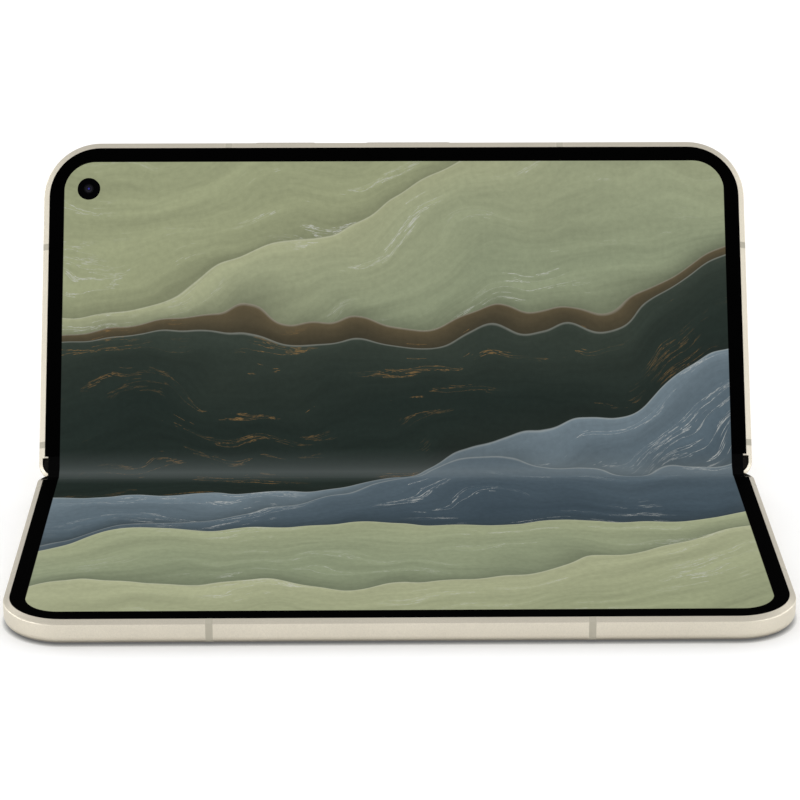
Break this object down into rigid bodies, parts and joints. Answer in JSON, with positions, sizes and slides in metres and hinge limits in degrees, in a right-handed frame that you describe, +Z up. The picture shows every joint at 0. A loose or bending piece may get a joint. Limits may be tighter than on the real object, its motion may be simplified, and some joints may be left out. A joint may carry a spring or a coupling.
{
  "type": "foldable smartphone",
  "caption": "Book-style foldable smartphone standing half open, with a geared hinge, inner and outer screens, keys, card tray and rear cameras.",
  "frame": {"origin": "centre of the outer glass face that the base half lies on", "axes": "+X along the hinge, towards the charging socket; +Y from the base half's free edge towards the hinge; +Z up"},
  "size_m": [0.1552, 0.1173, 0.0684],
  "materials": {
    "frame_metal": "fine bead-blasted, anodised pale champagne",
    "band_plastic": "moulded plastic in the frame's colour",
    "bezel_black": "soft black",
    "seal_rubber": "soft dark seal",
    "screen_base": "flexible screen film, lit",
    "screen_lid": "flexible screen film, lit",
    "screen_fold": "flexible screen film, lit",
    "cover_glass": "polished glass",
    "cover_panel": "screen that is off",
    "back_glass": "satin etched glass, coated behind",
    "camera_barrel": "black lens barrel",
    "cell_wrap": "cell pouch",
    "board": "circuit board",
    "module_plastic": "moulded module",
    "sheet_steel": "stamped sheet",
    "hinge_steel": "sintered steel",
    "screw_steel": "machined",
    "gear_steel": "sintered steel",
    "island_metal": "satin anodised",
    "ring_metal": "polished anodised",
    "lens_glass": "polished coated glass",
    "flash_glass": "translucent lens",
    "coil_copper": "flat wound copper",
    "spine_metal": "polished anodised",
    "cap_plastic": "black moulding",
    "key_metal": "satin anodised",
    "tray_metal": "satin anodised"
  },
  "bodies": {
    "base": {"base_frame": "frame_metal", "base_antenna_bands": "band_plastic", "base_bezel": "bezel_black", "base_display": "screen_base", "cover_glass": "cover_glass", "cover_panel": "cover_panel", "outer_selfie_camera": "camera_barrel", "base_battery": "cell_wrap", "sub_board": "board", "haptic_motor": "module_plastic", "earpiece": "module_plastic", "sim_reader": "sheet_steel", "base_rail_seals": "seal_rubber", "base_bracket_screws": "screw_steel", "base_bracket_left": "hinge_steel", "base_bracket_centre": "hinge_steel", "base_bracket_right": "hinge_steel"},
    "spine": {"spine_cover": "spine_metal", "spine_cap_left": "cap_plastic", "spine_cap_right": "cap_plastic", "display_fold": "screen_fold", "hinge_housing_left": "hinge_steel", "hinge_housing_centre": "hinge_steel", "hinge_housing_right": "hinge_steel"},
    "lid": {"lid_frame": "frame_metal", "lid_antenna_bands": "band_plastic", "lid_bezel": "bezel_black", "lid_display": "screen_lid", "back_glass": "back_glass", "camera_island": "island_metal", "flash_lens": "flash_glass", "selfie_camera": "camera_barrel", "lid_battery": "cell_wrap", "main_board": "board", "shield_can": "sheet_steel", "loudspeaker": "module_plastic", "charging_coil": "coil_copper", "side_switches": "module_plastic", "usb_port": "sheet_steel", "lid_rail_seals": "seal_rubber", "lid_bracket_screws": "screw_steel", "lid_bracket_left": "hinge_steel", "lid_bracket_centre": "hinge_steel", "lid_bracket_right": "hinge_steel", "lens_ring_main": "ring_metal", "lens_ring_wide": "ring_metal", "lens_ring_tele": "ring_metal", "lens_glass_main": "lens_glass", "lens_glass_wide": "lens_glass", "lens_glass_tele": "lens_glass", "camera_module_main": "camera_barrel", "camera_module_wide": "camera_barrel", "camera_module_tele": "camera_barrel"},
    "power_button": {"power_button": "key_metal"},
    "volume_rocker": {"volume_rocker": "key_metal"},
    "sim_tray": {"sim_tray": "tray_metal"},
    "idler_base_left": {"idler_base_left": "gear_steel"},
    "idler_base_right": {"idler_base_right": "gear_steel"},
    "idler_lid_left": {"idler_lid_left": "gear_steel"},
    "idler_lid_right": {"idler_lid_right": "gear_steel"}
  },
  "joints": [
    {"name": "spine_fold", "type": "hinge", "parent": "base", "child": "spine", "pos_m": [0, 0.03873, 0.00398], "axis": [1, 0, 0], "range_deg": [-29.24, 60.76], "deforming": ["display_fold"]},
    {"name": "lid_fold", "type": "hinge", "parent": "spine", "child": "lid", "pos_m": [0, 0.04095, 0.00522], "axis": [1, 0, 0], "range_deg": [-29.24, 60.76]},
    {"name": "power_press", "type": "slide", "parent": "lid", "child": "power_button", "axis": [0, -0.5228, -0.8525], "range_m": [0, 0.00025], "stiffness_N_per_m": 2000},
    {"name": "volume_rock", "type": "hinge", "parent": "lid", "child": "volume_rocker", "pos_m": [0.00306, 0.08051, 0.06662], "axis": [0, -0.8525, 0.5228], "range_deg": [-1.2, 1.2], "stiffness_Nm_per_rad": 0.5},
    {"name": "tray_slide", "type": "slide", "parent": "base", "child": "sim_tray", "axis": [1, 0, 0], "range_m": [0, 0.02]},
    {"name": "idler_base_left_spin", "type": "hinge", "parent": "spine", "child": "idler_base_left", "pos_m": [-0.05, 0.03981, 0.0026], "axis": [1, 0, 0], "range_deg": [-21.94, 45.58]},
    {"name": "idler_base_right_spin", "type": "hinge", "parent": "spine", "child": "idler_base_right", "pos_m": [0.05, 0.03981, 0.0026], "axis": [1, 0, 0], "range_deg": [-21.94, 45.58]},
    {"name": "idler_lid_left_spin", "type": "hinge", "parent": "spine", "child": "idler_lid_left", "pos_m": [-0.05, 0.04155, 0.00358], "axis": [1, 0, 0], "range_deg": [-45.58, 21.94]},
    {"name": "idler_lid_right_spin", "type": "hinge", "parent": "spine", "child": "idler_lid_right", "pos_m": [0.05, 0.04155, 0.00358], "axis": [1, 0, 0], "range_deg": [-45.58, 21.94]}
  ],
  "couplings": [
    {"joint": "lid_fold", "follows": "spine_fold", "ratio": 1},
    {"joint": "idler_base_left_spin", "follows": "spine_fold", "ratio": 0.75},
    {"joint": "idler_base_right_spin", "follows": "spine_fold", "ratio": 0.75},
    {"joint": "idler_lid_left_spin", "follows": "spine_fold", "ratio": -0.75},
    {"joint": "idler_lid_right_spin", "follows": "spine_fold", "ratio": -0.75}
  ]
}
